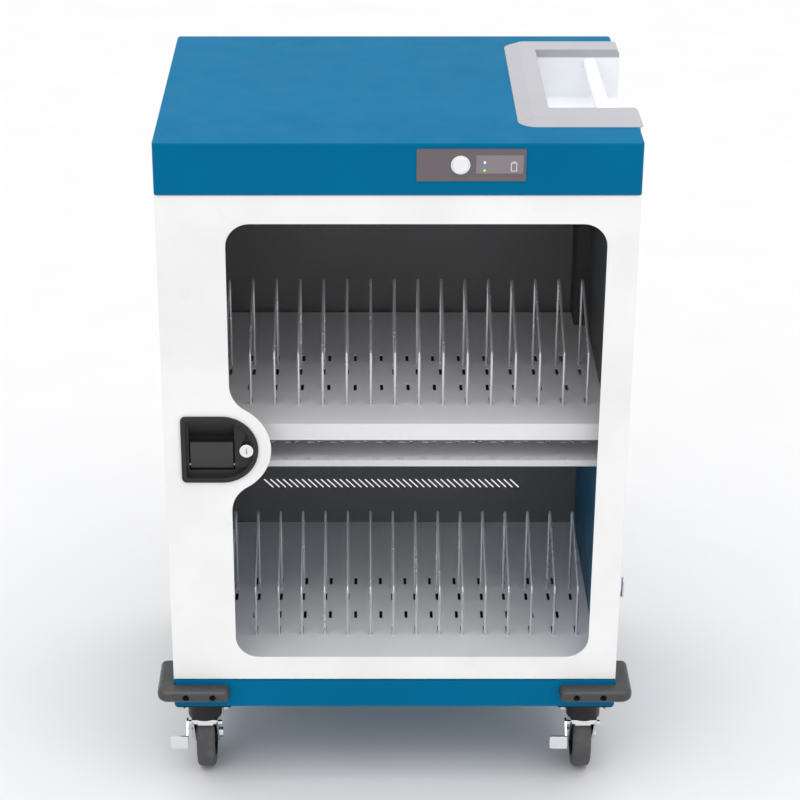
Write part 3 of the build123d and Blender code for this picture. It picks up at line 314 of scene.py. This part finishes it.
def plated(name, colour, roughness, stretch=EVEN, depth=0.05, metallic=1.0, wear=0.2):
    """Chrome or zinc: bright metal with a fine grain and faint smears."""
    finish = Finish(name, roughness, metallic=metallic)
    finish.surface(BRUSH_GRAIN, depth, stretch, spread=roughness * PLATED_SPREAD)
    finish.colour(linear(colour), variation=0.06, worn=linear(DUST), wear=wear)
    return finish.material


def clear_sheet(name):
    """Clear sheet: mostly see-through, with a glossy face and faint dust."""
    finish = Finish(name, roughness=0.06)
    finish.set("Base Color", PANE_TINT)
    finish.feed(finish.patches(PANE_DUST, *PANE_ALPHA), "Alpha")
    finish.feed(finish.patches(PANE_SMEARS, *PANE_ROUGHNESS), "Roughness")
    return finish.material


def lamp_lens(name, colours, top_z, pitch):
    """Lamp lenses that glow faintly, the top one in the first colour and so on down."""
    finish = Finish(name, roughness=0.2)
    height = finish.height()
    shown = linear(colours[0])
    for number, colour in enumerate(colours[1:], start=1):
        edge = top_z - (number - 0.5) * pitch
        below = finish.span(height, edge + LAMP_MEETS, edge - LAMP_MEETS)
        shown = finish.mix(below, shown, linear(colour))
    finish.feed(shown, "Base Color")
    finish.feed(shown, "Emission Color")
    finish.set("Emission Strength", LAMP_GLOW)
    return finish.material


def pale_floor(name):
    finish = Finish(name, roughness=0.5)
    finish.colour(linear(FLOOR), variation=0.01)
    return finish.material


def paint(material, *names):
    """Gives a material to CAD nodes."""
    for name in names:
        node = nodes[name]
        node.data.materials.clear()
        node.data.materials.append(material)


def starting(text):
    """The names of the CAD nodes that start with a piece of text."""
    return [name for name in nodes if name.startswith(text)]


# Sheet metal
shelf_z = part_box("upper_shelf")[0][2]
paint(powder_coat("blue_coat", BLUE, roughness=0.42, worn=BLUE_WORN, specular=BLUE_SPECULAR),
      "top_cap", "base_tray", "left_side_panel", "right_side_panel")
paint(split_coat("liner_coat", BLUE, LINER_DARK, shelf_z, roughness=0.45),
      "left_liner", "right_liner")
paint(powder_coat("door_coat", WHITE, roughness=0.32), "door_panel")
paint(powder_coat("shelf_coat", SHELF, roughness=0.45), "upper_shelf", "lower_shelf")
paint(powder_coat("tray_coat", TRAY, roughness=0.45), "cable_tray")
paint(powder_coat("wall_coat", DARK_WALL, roughness=0.55), "back_panel", "cap_floor")
paint(powder_coat("duct_coat", DUCT, roughness=0.55), "wiring_duct")

# Bright metal
paint(plated("wire_chrome", CHROME, roughness=0.22, depth=0.02, metallic=0.6, wear=0.02),
      "upper_dividers", "lower_dividers")
paint(plated("zinc", ZINC, roughness=0.34, stretch=BRUSHED),
      "cord_hook", "caster_bolts", "hinge_pins", "hinge_brackets", "strike_plate",
      "paddle_pin", "latch_bolt", "power_supply", "window_retainer")
paint(plated("caster_chrome", CHROME, roughness=0.14, depth=0.03),
      *starting("fork_"), *starting("axle_"), *starting("brake_lever_"))
paint(plated("key_metal", CHROME, roughness=0.24, stretch=BRUSHED), "key_cylinder")

# Casters and bumpers
paint(moulded("caster_black", CASTER_BLACK, roughness=0.36, worn=DUST),
      "caster_plates", *starting("hub_"))
paint(rubber("tyre_rubber", TYRE, roughness=0.6, dust=0.35), *starting("tyre_"))
paint(rubber("bumper_rubber", BUMPER, roughness=0.36, dust=0.12), "corner_bumpers")
paint(moulded("black_oxide", SCREW_BLACK, roughness=0.45, depth=0.1), "bumper_screws")

# Lock and handle
rim_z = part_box("top_cap")[1][2] - HANDLE_RIM
paint(moulded("lock_plastic", LOCK, roughness=0.5, depth=0.5, worn=LOCK_WORN), "lock_housing")
paint(moulded("paddle_plastic", PADDLE, roughness=0.48, depth=0.5, worn=PADDLE_WORN), "paddle")
# The handle housing is silver-grey on its rim and near-white below it: a pale pocket with a
# painted highlight on the bevels
paint(split_coat("handle_plastic", HANDLE_PALE_AND_HIGHLIGHT, HANDLE, rim_z, roughness=0.22), "handle_housing")
paint(moulded("grip_plastic", HANDLE_PALE_AND_HIGHLIGHT, roughness=0.16, depth=0.05), "grip_bar")

# Label, switch, electronics and pane
paint(moulded("label_print", LABEL, roughness=0.4, depth=0.15), "label_panel")
paint(moulded("insert_print", INSERT, roughness=0.3, depth=0.1), "display_insert")
paint(moulded("button_plastic", BUTTON, roughness=0.2, depth=0.05), "power_button")
paint(moulded("ring_plastic", WHITE, roughness=0.22, depth=0.05), "power_switch")
paint(moulded("box_plastic", CASTER_BLACK, roughness=0.5),
      "upper_usb_hub", "lower_usb_hub", "mains_inlet")
paint(moulded("board_mask", BOARD, roughness=0.3, worn=ZINC), "control_board")
paint(clear_sheet("clear_pane"), "door_window")
lamp_low, lamp_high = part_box("status_lamps")
lamp_pitch = (lamp_high[2] - lamp_low[2] - 2 * LAMP_RADIUS) / (len(LAMPS) - 1)
paint(lamp_lens("lamp_lens", LAMPS, lamp_high[2] - LAMP_RADIUS, lamp_pitch), "status_lamps")


def rounded_outline(x, y, z, size, corner, steps=5):
    """Points of a rounded rectangle in the plane at y, middle at x and z."""
    width, height = size
    points = []
    for side, up, start in ((1, 1, 0), (-1, 1, 90), (-1, -1, 180), (1, -1, 270)):
        for step in range(steps + 1):
            angle = radians(start + 90 * step / steps)
            points.append((x + side * (width / 2 - corner) + corner * cos(angle), y,
                           z + up * (height / 2 - corner) + corner * sin(angle)))
    return points


def printed_mark(name, outline, thickness, body, material):
    """A thin printed mark: a closed outline in one XZ plane, made thick towards the front."""
    mesh = bpy.data.meshes.new(name)
    model = bmesh.new()
    corners = [model.verts.new(point) for point in outline]
    face = model.faces.new(corners)
    lifted = bmesh.ops.extrude_face_region(model, geom=[face])
    moved = [item for item in lifted["geom"] if isinstance(item, bmesh.types.BMVert)]
    bmesh.ops.translate(model, vec=(0, -thickness, 0), verts=moved)
    bmesh.ops.recalc_face_normals(model, faces=model.faces)
    model.to_mesh(mesh)
    model.free()
    piece = bpy.data.objects.new(name, mesh)
    bpy.context.collection.objects.link(piece)
    mesh.materials.append(material)
    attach(piece, body)


# Plain battery mark beside the lamps
mark_ink = moulded("mark_ink", MARK, roughness=0.35, depth=0.05)
label_ink = moulded("label_ink", INSERT, roughness=0.35, depth=0.05)
insert_low, insert_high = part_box("display_insert")
mark_x = insert_high[0] - MARK_INSET
mark_y = insert_low[1]
mark_z = (insert_low[2] + insert_high[2]) / 2 - MARK_DROP
battery = rounded_outline(mark_x, mark_y, mark_z, BATTERY_SIZE, BATTERY_CORNER)
tip = rounded_outline(mark_x, mark_y, mark_z + TIP_RISE, TIP_SIZE, TIP_CORNER)
inside = rounded_outline(mark_x, mark_y - MARK_LIFT, mark_z, INSIDE_SIZE, INSIDE_CORNER)
printed_mark("battery_mark", battery, MARK_LIFT, "cabinet", mark_ink)
printed_mark("battery_mark_tip", tip, MARK_LIFT, "cabinet", mark_ink)
printed_mark("battery_mark_inside", inside, MARK_LIFT, "cabinet", label_ink)

# Floor
bpy.ops.mesh.primitive_plane_add(size=FLOOR_SIZE, location=(0, 0, 0))
floor = bpy.context.object
floor.name = "floor"
floor.data.materials.append(pale_floor("floor_paint"))


def placed(name, data):
    """Puts a light's or camera's data into the scene, and gives the new object."""
    thing = bpy.data.objects.new(name, data)
    bpy.context.collection.objects.link(thing)
    return thing


def panel(name, place, size, power):
    """A soft square light panel turned towards the middle of the cart."""
    panel_data = bpy.data.lights.new(name, "AREA")
    panel_data.size = size
    panel_data.energy = power
    lamp = placed(name, panel_data)
    lamp.location = place
    towards = Vector(PANEL_AIM) - Vector(place)
    lamp.rotation_euler = towards.to_track_quat("-Z", "Y").to_euler()


# Light: a white sky, two soft panels and a broad high lamp
world = bpy.data.worlds.new("studio")
bpy.context.scene.world = world
world.use_nodes = True
sky = world.node_tree.nodes["Background"]
sky.inputs["Color"].default_value = SKY_COLOUR
sky.inputs["Strength"].default_value = SKY_STRENGTH
panel("key_light", KEY_PLACE, KEY_SIZE, KEY_POWER)
panel("fill_light", FILL_PLACE, FILL_SIZE, FILL_POWER)
high_data = bpy.data.lights.new("high_light", "SUN")
high_data.energy = HIGH_STRENGTH
high_data.angle = radians(HIGH_SPREAD)
high_light = placed("high_light", high_data)
high_light.rotation_euler = (radians(HIGH_TILT), 0, 0)

# Plain view transform, so that a colour comes out as it is set above
bpy.context.scene.view_settings.view_transform = "Standard"

camera_data = bpy.data.cameras.new("camera")
camera_data.sensor_width = SENSOR_WIDTH
camera_data.lens = LENS
camera_data.shift_x = SHIFT_X
camera = placed("camera", camera_data)
camera.location = CAMERA_PLACE
camera.rotation_euler = (pi / 2 - radians(CAMERA_PITCH), 0, 0)
bpy.context.scene.camera = camera
